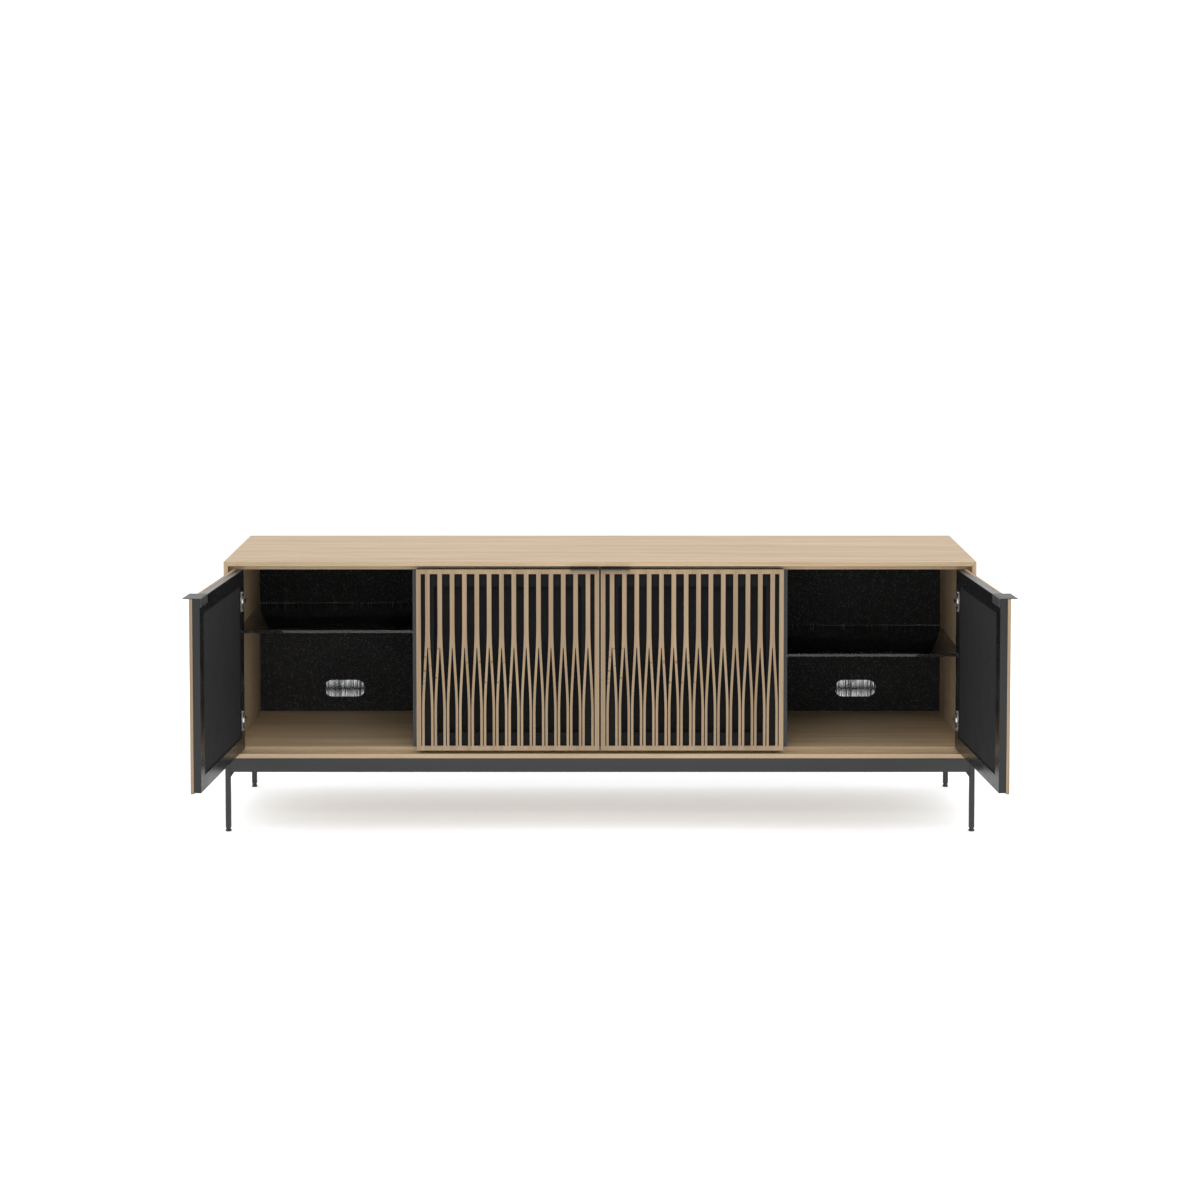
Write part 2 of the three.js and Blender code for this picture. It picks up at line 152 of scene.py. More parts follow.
def tree_with(name, family, inputs, outputs):
    """A shader or geometry node tree with named sockets. Returns it with its inputs and its end."""
    tree = bpy.data.node_groups.new(name, f"{family}NodeTree")
    for label, kind, value in inputs:
        socket = tree.interface.new_socket(label, in_out="INPUT", socket_type=f"NodeSocket{kind}")
        if value is not None:
            socket.default_value = value
    for label, kind in outputs:
        tree.interface.new_socket(label, in_out="OUTPUT", socket_type=f"NodeSocket{kind}")
    return tree, tree.nodes.new("NodeGroupInput").outputs, tree.nodes.new("NodeGroupOutput")


def feed(node, **sockets):
    """Fills inputs of a node, given by name or as i0, i1 and so on, with values or links."""
    for key, value in sockets.items():
        socket = node.inputs[int(key[1:]) if key[1:].isdigit() else key.replace("_", " ")]
        if isinstance(value, bpy.types.NodeSocket):
            node.id_data.links.new(value, socket)
        else:
            socket.default_value = value


def adder(tree):
    """Functions that add a node, a math node and a vector to a tree."""
    def made(kind, settings=None, **sockets):
        node = tree.nodes.new(kind)
        for key, value in (settings or {}).items():
            setattr(node, key, value)
        feed(node, **sockets)
        return node

    def calc(operation, a, b=0.0):
        return made("ShaderNodeMath", {"operation": operation}, i0=a, i1=b).outputs[0]

    def vector(x, y, z=0.0):
        return made("ShaderNodeCombineXYZ", X=x, Y=y, Z=z).outputs[0]

    return made, calc, vector


def wood_grain():
    """Colour, roughness and height of flat-sawn oak. Lay's X runs along the grain, in metres."""
    group, given, end = tree_with(
        "oak_grain", "Shader",
        [("Lay", "Vector", None), ("Light Wood", "Color", (0.66, 0.50, 0.34, 1)),
         ("Dark Wood", "Color", (0.50, 0.35, 0.215, 1))],
        [("Color", "Color"), ("Roughness", "Float"), ("Height", "Float")])
    made, calc, _ = adder(group)

    def stretched(scale, detail, distortion=0.0):
        moved = made("ShaderNodeMapping", Vector=given["Lay"], Scale=scale)
        return made("ShaderNodeTexNoise", Vector=moved.outputs["Vector"], Scale=1.0, Detail=detail,
                    Roughness=0.55, Distortion=distortion).outputs["Fac"]

    def ranged(value, low, high, to_low=0.0, to_high=1.0):
        return made("ShaderNodeMapRange", Value=value, From_Min=low, From_Max=high, To_Min=to_low,
                    To_Max=to_high).outputs["Result"]

    def mixed(factor, first, second, blend="MIX"):
        return made("ShaderNodeMix", {"data_type": "RGBA", "blend_type": blend}, i0=factor, i6=first,
                    i7=second).outputs[2]

    ring_mask = ranged(stretched((1.1, 46.0, 46.0), 3.0, 0.35), 0.36, 0.66)
    streaks = stretched((5.0, 210.0, 210.0), 2.0)
    streak_mask = ranged(streaks, 0.35, 0.68)
    pore_mask = ranged(stretched((42.0, 1500.0, 1500.0), 1.0), 0.60, 0.74)
    figure = calc("ADD", calc("MULTIPLY", ring_mask, 0.62), calc("MULTIPLY", streak_mask, 0.38))
    base = mixed(figure, given["Light Wood"], given["Dark Wood"])
    board_tone = ranged(stretched((0.35, 7.0, 7.0), 1.0), 0.3, 0.7, 0.93, 1.06)
    toned = mixed(1.0, base, board_tone, "MULTIPLY")
    feed(end, Color=mixed(calc("MULTIPLY", pore_mask, 0.40), toned, (0.27, 0.175, 0.10, 1)),
         Roughness=ranged(streaks, 0.3, 0.7, 0.46, 0.60),
         Height=calc("SUBTRACT", calc("MULTIPLY", streak_mask, 0.3), pore_mask))
    return group


grain_group = wood_grain()


def oak(name, light, dark):
    """Oiled oak veneer, its grain laid by the "lay" attribute of the mesh."""
    material, shader = new_material(name, light, 0.55)
    made = adder(material.node_tree)[0]
    lay = made("ShaderNodeAttribute", {"attribute_name": "lay"})
    grain = made("ShaderNodeGroup", {"node_tree": grain_group}, Lay=lay.outputs["Vector"],
                 Light_Wood=(*light, 1), Dark_Wood=(*dark, 1)).outputs
    bump = made("ShaderNodeBump", Height=grain["Height"], Strength=0.25, Distance=0.0002)
    feed(shader, Base_Color=grain["Color"], Roughness=grain["Roughness"],
         Normal=bump.outputs["Normal"], Specular_IOR_Level=0.4)
    return material


case_oak = oak("case_oak", (0.475, 0.355, 0.225), (0.345, 0.243, 0.143))

arris = 0.0007
seam = 0.0003
GRAIN_X, GRAIN_Y, GRAIN_Z = (0, 1, 2), (1, 0, 2), (2, 0, 1)


def solid_of(points, faces):
    """A mesh of corner points and faces, with its faces turned outward."""
    shape = bmesh.new()
    corners = [shape.verts.new(point) for point in points]
    for face in faces:
        shape.faces.new([corners[i] for i in face])
    bmesh.ops.recalc_face_normals(shape, faces=shape.faces)
    return shape


def ease(shape, width, segments=2, angle=0.5):
    """Rounds every edge sharper than the angle."""
    sharp = [
        edge for edge in shape.edges
        if len(edge.link_faces) == 2 and edge.calc_face_angle(0) > angle]
    bmesh.ops.bevel(
        shape, geom=sharp, offset=width, segments=segments, profile=0.5, affect="EDGES",
        clamp_overlap=True)


def mesh_of(shape):
    mesh = bpy.data.meshes.new("part")
    shape.to_mesh(mesh)
    shape.free()
    return mesh


def made_piece(name, shape, material, body, place=None, grain=None, shift=(0, 0, 0), smooth=None):
    """Turns a finished shape into a piece that rides on a body."""
    return finish_mesh(name, mesh_of(shape), material, body, place, grain, shift, smooth)


def finish_mesh(name, mesh, material, body, place=None, grain=None, shift=(0, 0, 0), smooth=None):
    """The same for a mesh. Grain orders the axes so that the first runs along the wood."""
    if grain is not None:
        flat = np.empty(len(mesh.vertices) * 3, np.float32)
        mesh.vertices.foreach_get("co", flat)
        lay = flat.reshape(-1, 3)[:, list(grain)] + np.array(shift, np.float32)
        attribute = mesh.attributes.new("lay", "FLOAT_VECTOR", "POINT")
        attribute.data.foreach_set("vector", lay.astype(np.float32).ravel())
    if place is not None:
        mesh.transform(place)
    mesh.materials.clear()
    mesh.materials.append(material)
    if smooth is not None:
        mesh.polygons.foreach_set("use_smooth", [True] * len(mesh.polygons))
        mesh.set_sharp_from_angle(angle=smooth)
    piece = link_mesh(name, mesh)
    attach(piece, body)
    return piece


def mitred_board(profile, along, depth_axis, face_axis):
    """A board with an own length at each profile corner, which is (depth, face, low, high)."""
    points = []
    for depth, face, low, high in profile:
        for end in (low, high):
            point = [0.0, 0.0, 0.0]
            point[depth_axis], point[face_axis], point[along] = depth, face, end
            points.append(point)
    count = len(profile)
    sides = [(2 * i, 2 * i + 1, 2 * ((i + 1) % count) + 1, 2 * ((i + 1) % count)) for i in range(count)]
    ends = [tuple(2 * i for i in range(count)), tuple(2 * i + 1 for i in range(count))]
    return solid_of(points, sides + ends)


def extruded(outline, low, high, along, first, second):
    """A bar with square ends: an outline in two axes, drawn out along the third."""
    return mitred_board([(a, b, low, high) for a, b in outline], along, first, second)


X, Y, Z = 0, 1, 2
half_width = case_high.x + seam
rear = case_high.y
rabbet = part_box("left_partition")[0].y - seam
lip = 0.012
floor_top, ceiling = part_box("floor_panel")[1].z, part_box("top_panel")[0].z
bay_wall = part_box("right_side_panel")[0].x
lip_edge = half_width - lip


def horizontal_board(name, outside, inside, lip_inside):
    long, at_lip, at_bay = half_width - seam, lip_edge - seam, bay_wall - seam
    profile = [
        (case_front, outside, -long, long), (rear, outside, -long, long),
        (rear, inside, -at_bay, at_bay), (rabbet, inside, -at_bay, at_bay),
        (rabbet, lip_inside, -at_lip, at_lip), (case_front, lip_inside, -at_lip, at_lip)]
    shape = mitred_board(profile, X, Y, Z)
    ease(shape, arris)
    own_name = name.replace("_panel", "_board")
    piece = made_piece(own_name, shape, case_oak, "case", grain=GRAIN_X, shift=(0, 0, outside))
    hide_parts(name)


horizontal_board("top_panel", case_high.z, ceiling, case_high.z - lip)
horizontal_board("floor_panel", case_low.z, floor_top, case_low.z + lip)

# ---- Side panels, drilled for shelf pins ------------------------------------------------------
# The sides match the top. Each inner face has two upright rows of blind holes, one in front and one
# at the back, that a drilling machine makes in one stroke.

hole_pitch = 0.032
hole_radius = 0.0026
hole_depth = 0.011
hole_margin = 0.0485
lowest_hole = floor_top + hole_margin
hole_count = int((ceiling - floor_top - 2 * hole_margin) / hole_pitch + 0.01) + 1
plate_setback = 0.037    # from the step behind the doors to the front row and the hinge plates
hole_rows = (rabbet + plate_setback, case_front + 0.392)


def geometry_tree(name, inputs):
    """A Geometry Nodes tree. Returns it with its inputs and the function that ends it."""
    inputs = [*inputs, ("Material", "Material", None)]
    tree, given, end = tree_with(name, "Geometry", inputs, [("Geometry", "Geometry")])
    made = adder(tree)[0]

    def end_with(geometry):
        real = made("GeometryNodeRealizeInstances", Geometry=geometry)
        painted = made("GeometryNodeSetMaterial", Geometry=real.outputs[0], Material=given["Material"])
        feed(end, Geometry=painted.outputs[0])

    return tree, given, end_with


def evaluated(carrier):
    """The plain mesh of an object with its modifiers applied. The object itself is removed."""
    bpy.context.view_layer.update()
    mesh = bpy.data.meshes.new_from_object(carrier.evaluated_get(bpy.context.evaluated_depsgraph_get()))
    carrier.modifiers.clear()
    bpy.data.objects.remove(carrier)
    return mesh


def grown(tree, values, base=None):
    """The plain mesh that a tree makes from a base mesh, with its inputs set by identifier."""
    carrier = link_mesh("carrier", base or bpy.data.meshes.new("carrier"))
    modifier = carrier.modifiers.new("grow", "NODES")
    modifier.node_group = tree
    sockets = {item.name: item.identifier for item in tree.interface.items_tree if item.in_out == "INPUT"}
    for label, value in values.items():
        modifier[sockets[label]] = value
    carrier.update_tag()
    return evaluated(carrier)


def drilling_tree():
    """Drills one board with two upright rows of round holes that run along X."""
    tree, given, end_with = geometry_tree("drill_pin_holes", [
        ("Board", "Geometry", None), ("Face", "Float", 0.0), ("Front Row", "Float", 0.0),
        ("Rear Row", "Float", 0.0), ("Lowest", "Float", 0.0), ("Pitch", "Float", 0.032),
        ("Count", "Int", 2), ("Radius", "Float", 0.0026), ("Depth", "Float", 0.011)])
    made, calc, vector = adder(tree)
    span = calc("SUBTRACT", given["Rear Row"], given["Front Row"])
    column = made("GeometryNodeMeshLine", {"mode": "OFFSET"}, Count=given["Count"],
                  Offset=vector(0.0, 0.0, given["Pitch"]))
    row = made("GeometryNodeMeshLine", {"mode": "OFFSET"}, Count=2, Offset=vector(0.0, span))
    columns = made("GeometryNodeInstanceOnPoints", Points=row.outputs[0], Instance=column.outputs[0])
    points = made("GeometryNodeRealizeInstances", Geometry=columns.outputs[0])
    placed = made("GeometryNodeTransform", Geometry=points.outputs[0],
                  Translation=vector(given["Face"], given["Front Row"], given["Lowest"]))
    bit = made("GeometryNodeMeshCylinder", Vertices=16, Radius=given["Radius"],
               Depth=calc("MULTIPLY", given["Depth"], 2.0))
    drills = made("GeometryNodeInstanceOnPoints", Points=placed.outputs[0], Instance=bit.outputs["Mesh"],
                  Rotation=(0, math.pi / 2, 0))
    cutters = made("GeometryNodeRealizeInstances", Geometry=drills.outputs[0])
    bored = made("GeometryNodeMeshBoolean", {"operation": "DIFFERENCE"}, Mesh_1=given["Board"],
                 Mesh_2=cutters.outputs[0])
    end_with(bored.outputs["Mesh"])
    return tree


pin_drill = drilling_tree()


def drilled(shape, face, material):
    """The mesh of a shape with pin holes that reach one hole depth to both sides of an X."""
    return grown(pin_drill, {
        "Face": face, "Front Row": hole_rows[0], "Rear Row": hole_rows[1], "Lowest": lowest_hole,
        "Pitch": hole_pitch, "Count": hole_count, "Radius": hole_radius, "Depth": hole_depth,
        "Material": material}, mesh_of(shape))


for name, hand in (("left_side_panel", -1), ("right_side_panel", 1)):
    outer = hand * half_width
    profile = [
        (case_front, outer, case_low.z, case_high.z), (rear, outer, case_low.z, case_high.z),
        (rear, hand * bay_wall, floor_top, ceiling), (rabbet, hand * bay_wall, floor_top, ceiling),
        (rabbet, hand * lip_edge, case_low.z + lip, case_high.z - lip),
        (case_front, hand * lip_edge, case_low.z + lip, case_high.z - lip)]
    shape = mitred_board(profile, Z, Y, X)
    ease(shape, arris)
    mesh = drilled(shape, hand * bay_wall, case_oak)
    own_name = name.replace("_panel", "_board")
    piece = finish_mesh(own_name, mesh, case_oak, "case", grain=GRAIN_Z, shift=(0.3, 0, hand))
    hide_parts(name)

# ---- Partitions -------------------------------------------------------------------------------
# Three black lacquered boards divide the case into four bays. The pin holes go right through, and
# the rear foot of each is cut away so that cables can pass from bay to bay.


def fine_speckle():
    """A mask of small scattered flecks, and slow cloudiness, on Object coordinates."""
    group, given, end = tree_with(
        "fine_speckle", "Shader",
        [("Position", "Vector", None), ("Scale", "Float", 900.0), ("Cover", "Float", 0.62)],
        [("Fleck", "Float"), ("Cloud", "Float"), ("Height", "Float")])
    made, calc, _ = adder(group)
    fine = made("ShaderNodeTexNoise", Vector=given["Position"], Scale=given["Scale"], Detail=2.0,
                Roughness=0.6).outputs["Fac"]
    fleck = made("ShaderNodeMapRange", Value=fine, From_Min=given["Cover"],
                 From_Max=calc("ADD", given["Cover"], 0.12))
    cloud = made("ShaderNodeTexNoise", Vector=given["Position"], Scale=6.0, Detail=3.0)
    feed(end, Fleck=fleck.outputs["Result"], Cloud=cloud.outputs["Fac"], Height=fine)
    return group


speckle_group = fine_speckle()


def flecked(name, color, fleck_color, roughness, scale, cover, bump=0.1, specular=0.5):
    """A finish with a fine fleck: powder coat, lacquer orange peel or flecked board."""
    material, shader = new_material(name, color, roughness)
    made = adder(material.node_tree)[0]
    place = made("ShaderNodeTexCoord")
    speckle = made("ShaderNodeGroup", {"node_tree": speckle_group}, Position=place.outputs["Object"],
                   Scale=scale, Cover=cover).outputs
    mixed = made("ShaderNodeMix", {"data_type": "RGBA"}, i0=speckle["Fleck"], i6=(*color, 1),
                 i7=(*fleck_color, 1))
    rough = made("ShaderNodeMapRange", Value=speckle["Cloud"], From_Min=0.3, From_Max=0.7,
                 To_Min=roughness - 0.05, To_Max=roughness + 0.05)
    relief = made("ShaderNodeBump", Height=speckle["Height"], Strength=bump, Distance=0.0002)
    feed(shader, Base_Color=mixed.outputs[2], Roughness=rough.outputs["Result"],
         Normal=relief.outputs["Normal"], Specular_IOR_Level=specular)
    return material


black_lacquer = flecked("black_lacquer", (0.020, 0.020, 0.021), (0.026, 0.026, 0.027), 0.36, 700, 0.6, 0.05)
partition_arris = 0.001
notch_depth, notch_height = 0.060, 0.070
for name in ("left_partition", "centre_partition", "right_partition"):
    low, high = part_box(name)
    notch_front, notch_top = high.y - notch_depth, low.z + notch_height
    outline = [(low.y, low.z), (notch_front, low.z), (notch_front, notch_top), (high.y, notch_top),
               (high.y, high.z), (low.y, high.z)]
    shape = extruded(outline, low.x, high.x, X, Y, Z)
    ease(shape, partition_arris)
    mesh = drilled(shape, (low.x + high.x) / 2, black_lacquer)
    own_name = name.replace("_partition", "_divider")
    piece = finish_mesh(own_name, mesh, black_lacquer, "case")
    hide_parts(name)

# ---- Back panels ------------------------------------------------------------------------------
# Four removable boards with a black flecked face close the bays. Each has a slot for cables near
# the floor and a long vent near the ceiling, and sits between the walls and the partitions.

flecked_board = flecked(
    "flecked_board", (0.0095, 0.0095, 0.010), (0.085, 0.085, 0.088), 0.85, 300, 0.57, 0.3)
bay_names = ("left", "centre_left", "centre_right", "right")
slots = (("cable", floor_top + 0.065, 0.120, 0.050), ("vent", ceiling - 0.036, 0.240, 0.016))


def round_end_loop(x, z, width, height, steps=10):
    """The corners of a slot with round ends."""
    radius = height / 2
    run = width / 2 - radius
    turns = [math.pi * (i / steps - 0.5) for i in range(steps + 1)]
    right = [(x + run + radius * math.cos(a), z + radius * math.sin(a)) for a in turns]
    left = [(x - run - radius * math.cos(a), z - radius * math.sin(a)) for a in turns]
    return right + left


def plate_with_holes(outer, holes, y0, y1):
    """A flat plate in X and Z with holes through it, from y0 to y1."""
    curve = bpy.data.curves.new("plate", "CURVE")
    curve.dimensions = "2D"
    curve.fill_mode = "BOTH"
    curve.extrude = (y1 - y0) / 2
    for loop in [outer, *holes]:
        spline = curve.splines.new("POLY")
        spline.points.add(len(loop) - 1)
        for point, (x, z) in zip(spline.points, loop):
            point.co = (x, z, 0, 1)
        spline.use_cyclic_u = True
    carrier = bpy.data.objects.new("plate", curve)
    scene.collection.objects.link(carrier)
    mesh = evaluated(carrier)
    mesh.transform(Matrix.Translation((0, (y0 + y1) / 2, 0)) @ Matrix.Rotation(math.pi / 2, 4, "X"))
    shape = bmesh.new()
    shape.from_mesh(mesh)
    bmesh.ops.remove_doubles(shape, verts=shape.verts, dist=1e-6)
    bmesh.ops.recalc_face_normals(shape, faces=shape.faces)
    return shape


for bay in bay_names:
    name = f"{bay}_back_panel"
    low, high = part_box(name)
    middle = (low.x + high.x) / 2
    corners = [(low.x, low.z), (high.x, low.z), (high.x, high.z), (low.x, high.z)]
    openings = [round_end_loop(middle, height, run, gap) for _, height, run, gap in slots]
    shape = plate_with_holes(corners, openings, low.y, high.y)
    ease(shape, 0.0006)
    piece = made_piece(f"{bay}_back_board", shape, flecked_board, "case")
    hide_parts(name)

# ---- Slot brushes -----------------------------------------------------------------------------
# Two facing rows of black nylon bristles close each slot and part for a cable. They are pressed
# into the slot's upper and lower edge, and follow its round ends.

bristle_pitch, bristle_radius, bristle_tip = 0.0008, 0.0005, 0.00042
bristle_sway = 0.035


def brush_tree():
    """Bristles in a round-ended slot, in an upper and a lower row whose tips meet in the middle."""
    tree, given, end_with = geometry_tree("slot_brush", [
        ("Middle", "Float", 0.0), ("Height", "Float", 0.0), ("Run", "Float", 0.12),
        ("Gap", "Float", 0.05), ("Depth", "Float", 0.0), ("Pitch", "Float", bristle_pitch),
        ("Radius", "Float", bristle_radius), ("Seed", "Int", 0)])
    made, calc, vector = adder(tree)
    half = calc("MULTIPLY", given["Gap"], 0.5)
    straight = calc("SUBTRACT", calc("MULTIPLY", given["Run"], 0.5), half)
    count = calc("DIVIDE", given["Run"], given["Pitch"])
    first = calc("SUBTRACT", given["Middle"], calc("MULTIPLY", given["Run"], 0.5))
    inset = calc("ADD", first, calc("MULTIPLY", given["Pitch"], 0.5))
    line = made("GeometryNodeMeshLine", {"mode": "OFFSET"}, Count=count,
                Start_Location=vector(inset, given["Depth"], given["Height"]),
                Offset=vector(given["Pitch"], 0.0))
    spot = made("ShaderNodeSeparateXYZ", Vector=made("GeometryNodeInputPosition").outputs[0])
    away = calc("ABSOLUTE", calc("SUBTRACT", spot.outputs["X"], given["Middle"]))
    beyond = calc("MAXIMUM", calc("SUBTRACT", away, straight), 0.0)
    square = calc("SUBTRACT", calc("MULTIPLY", half, half), calc("MULTIPLY", beyond, beyond))
    reach = calc("SQRT", calc("MAXIMUM", square, 0.0))
    sway = made("FunctionNodeRandomValue", {"data_type": "FLOAT_VECTOR"}, Min=(0, -bristle_sway, 0),
                Max=(0, bristle_sway, 0), Seed=given["Seed"])
    hair = made("GeometryNodeMeshCone", Vertices=5, Radius_Top=bristle_tip,
                Radius_Bottom=given["Radius"], Depth=1.0)
    rooted = made("GeometryNodeTransform", Geometry=hair.outputs["Mesh"], Translation=(0, 0, -1.0))
    both = made("GeometryNodeJoinGeometry")
    for turn in (0.0, math.pi):
        tilt = made("ShaderNodeVectorMath", {"operation": "ADD"}, i0=sway.outputs[0], i1=(turn, 0, 0))
        copies = made("GeometryNodeInstanceOnPoints", Points=line.outputs[0],
                      Instance=rooted.outputs[0], Rotation=tilt.outputs[0],
                      Scale=vector(1.0, 1.0, reach))
        feed(both, i0=copies.outputs[0])
    end_with(both.outputs[0])
    return tree


black_bristle = flecked("black_bristle", (0.010, 0.010, 0.011), (0.020, 0.020, 0.021), 0.6, 900, 0.6)
brush_grower = brush_tree()
for bay in bay_names:
    low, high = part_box(f"{bay}_back_panel")
    for seed, (purpose, height, run, gap) in enumerate(slots):
        mesh = grown(brush_grower, {
            "Middle": (low.x + high.x) / 2, "Height": height, "Run": run, "Gap": gap,
            "Depth": (low.y + high.y) / 2, "Pitch": bristle_pitch, "Radius": bristle_radius,
            "Seed": seed, "Material": black_bristle})
        finish_mesh(f"{bay}_{purpose}_brush", mesh, black_bristle, "case")

# ---- Glass shelves and their pins -------------------------------------------------------------
# Each bay has one shelf of smoked glass with polished edges. It lies loose on four nickel pins,
# one in each row of holes on both walls, so that it can be set at another height.


def smoked_glass():
    """Tinted glass, with a faint film that varies over its faces."""
    material, shader = new_material("smoked_glass", (0.30, 0.315, 0.32), 0.04)
    made = adder(material.node_tree)[0]
    place = made("ShaderNodeTexCoord")
    haze = made("ShaderNodeTexNoise", Vector=place.outputs["Object"], Scale=9.0, Detail=3.0)
    rough = made("ShaderNodeMapRange", Value=haze.outputs["Fac"], From_Min=0.35, From_Max=0.7,
                 To_Min=0.02, To_Max=0.07)
    feed(shader, Transmission_Weight=1.0, IOR=1.5, Roughness=rough.outputs["Result"])
    return material


def brushed_metal(name, color, roughness):
    """Plated or plain metal with fine scratches and slow changes in its shine."""
    material, shader = new_material(name, color, roughness, 1.0)
    made = adder(material.node_tree)[0]
    place = made("ShaderNodeTexCoord")
    fine = made("ShaderNodeTexNoise", Vector=place.outputs["Object"], Scale=260.0, Detail=3.0)
    rough = made("ShaderNodeMapRange", Value=fine.outputs["Fac"], From_Min=0.3, From_Max=0.7,
                 To_Min=roughness - 0.06, To_Max=roughness + 0.08)
    feed(shader, Roughness=rough.outputs["Result"])
    return material


glass = smoked_glass()
nickel = brushed_metal("nickel", (0.62, 0.61, 0.59), 0.26)
pin_radius = 0.0025
glass_gap = 0.002        # from the ends of a shelf to the walls


def block(low, high):
    """A plain block between two corners."""
    x0, y0, z0 = low
    x1, y1, z1 = high
    points = [(x, y, z) for x in (x0, x1) for y in (y0, y1) for z in (z0, z1)]
    faces = [(0, 1, 3, 2), (4, 6, 7, 5), (0, 4, 5, 1), (2, 3, 7, 6), (0, 2, 6, 4), (1, 5, 7, 3)]
    return solid_of(points, faces)


pin_places = []
for bay in bay_names:
    low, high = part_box(f"{bay}_shelf")
    shape = block(low, high)
    ease(shape, 0.0009, 3)
    piece = made_piece(f"{bay}_glass", shape, glass, "case", smooth=0.6)
    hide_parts(f"{bay}_shelf")
    for wall, hand in ((low.x - glass_gap, 1), (high.x + glass_gap, -1)):
        for row in hole_rows:
            pin_places.append((wall, row, low.z - pin_radius - 0.0001, hand))


def turned(profile, steps):
    """A body of revolution about X from (x, radius) points; the first and last lie on the axis."""
    shape = bmesh.new()
    rings = []
    for x, radius in profile[1:-1]:
        turns = [2 * math.pi * i / steps for i in range(steps)]
        rings.append([shape.verts.new((x, radius * math.cos(a), radius * math.sin(a))) for a in turns])
    for ring, following in zip(rings, rings[1:]):
        for i in range(steps):
            j = (i + 1) % steps
            shape.faces.new((ring[i], ring[j], following[j], following[i]))
    shape.faces.new(rings[0])
    shape.faces.new(rings[-1])
    bmesh.ops.recalc_face_normals(shape, faces=shape.faces)
    return shape


def pin_tree():
    """Puts a shelf pin on every point, turned so that it leaves its own wall."""
    tree, given, end_with = geometry_tree("shelf_pins", [
        ("Places", "Geometry", None), ("Pin", "Object", None)])
    made, _, vector = adder(tree)
    pin = made("GeometryNodeObjectInfo", {"transform_space": "ORIGINAL"}, Object=given["Pin"])
    turn = made("GeometryNodeInputNamedAttribute", {"data_type": "FLOAT"}, Name="turn")
    pins = made("GeometryNodeInstanceOnPoints", Points=given["Places"], Instance=pin.outputs["Geometry"],
                Rotation=vector(0.0, 0.0, turn.outputs["Attribute"]))
    end_with(pins.outputs[0])
    return tree


pin_profile = [
    (-0.008, 0), (-0.008, 0.0017), (-0.0073, 0.0024), (0.0, 0.0024), (0.0001, 0.0038), (0.0006, 0.0042),
    (0.0016, 0.0042), (0.0021, 0.0038), (0.0021, pin_radius), (0.0092, pin_radius), (0.0098, 0.0019),
    (0.0098, 0)]
pin_model = link_mesh("pin_model", mesh_of(turned(pin_profile, 20)))
places = bpy.data.meshes.new("pin_places")
places.from_pydata([place[:3] for place in pin_places], [], [])
places.attributes.new("turn", "FLOAT", "POINT").data.foreach_set(
    "value", [0.0 if place[3] > 0 else math.pi for place in pin_places])
pins = grown(pin_tree(), {"Pin": pin_model, "Material": nickel}, places)
bpy.data.objects.remove(pin_model)
finish_mesh("shelf_pins", pins, nickel, "case", smooth=0.6)

# ---- Steel base -------------------------------------------------------------------------------
# Four rails and four square legs of steel tube, welded up with a small plate gusset in each inner
# corner, and powder coated in grey. The case is screwed down on the rails.

grey_coat = flecked(
    "grey_powder_coat", (0.021, 0.021, 0.0215), (0.029, 0.029, 0.030), 0.52, 1500, 0.62, 0.35, 0.42)
tube_radius = 0.0016


def combined(mesh, other, operation):
    """The mesh of one body joined with another or cut by it."""
    target, tool = link_mesh("target", mesh), link_mesh("tool", other)
    modifier = target.modifiers.new("combine", "BOOLEAN")
    modifier.object = tool
    modifier.operation = operation
    modifier.solver = "EXACT"
    result = evaluated(target)
    bpy.data.objects.remove(tool)
    return result


def tube(low, high, axis):
    """A length of rectangular tube with rolled corners along one axis."""
    shape = block(low, high)
    along = [
        edge for edge in shape.edges
        if abs((edge.verts[0].co - edge.verts[1].co).normalized()[axis]) > 0.9]
    bmesh.ops.bevel(shape, geom=along, offset=tube_radius, segments=4, profile=0.5, affect="EDGES")
    return shape


for name, axis in (("front_rail", X), ("rear_rail", X), ("left_rail", Y), ("right_rail", Y)):
    low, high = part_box(name)
    low[axis] -= 0.0002
    high[axis] += 0.0002
    piece = made_piece(name.replace("_rail", "_beam"), tube(low, high, axis), grey_coat, "case",
                       smooth=0.6)
    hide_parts(name)

gusset_height, gusset_thickness = 0.0147, 0.005
gusset_nose, gusset_root = 0.0015, 0.003
rail_low, rail_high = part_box("front_rail")
leg_width = rail_high.y - rail_low.y
top = rail_low.z - seam
half = gusset_thickness / 2
leg_places = [(end, side, hand_x, hand_y) for end, hand_y in (("front", -1), ("rear", 1))
              for side, hand_x in (("left", -1), ("right", 1))]
for end, side, hand_x, hand_y in leg_places:
    name = f"{end}_{side}_leg"
    low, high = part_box(name)
    outer = (low.x if hand_x < 0 else high.x, low.y if hand_y < 0 else high.y)
    inner = (outer[X] - hand_x * leg_width, outer[Y] - hand_y * leg_width)
    xs, ys = sorted((outer[X], inner[X])), sorted((outer[Y], inner[Y]))
    mesh = mesh_of(tube((xs[0], ys[0], low.z), (xs[1], ys[1], high.z), Z))
    for run, across, hand in ((X, Y, hand_x), (Y, X, hand_y)):
        tip = low[run] if hand > 0 else high[run]
        root = inner[run] + hand * gusset_root
        middle = (outer[across] + inner[across]) / 2
        outline = [(root, top), (tip, top), (tip, top - gusset_nose),
                   (inner[run], top - gusset_height), (root, top - gusset_height)]
        gusset = extruded(outline, middle - half, middle + half, across, run, Z)
        ease(gusset, 0.0006)
        mesh = combined(mesh, mesh_of(gusset), "UNION")
    piece = finish_mesh(f"{end}_{side}_post", mesh, grey_coat, "case", smooth=0.6)
    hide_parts(name)

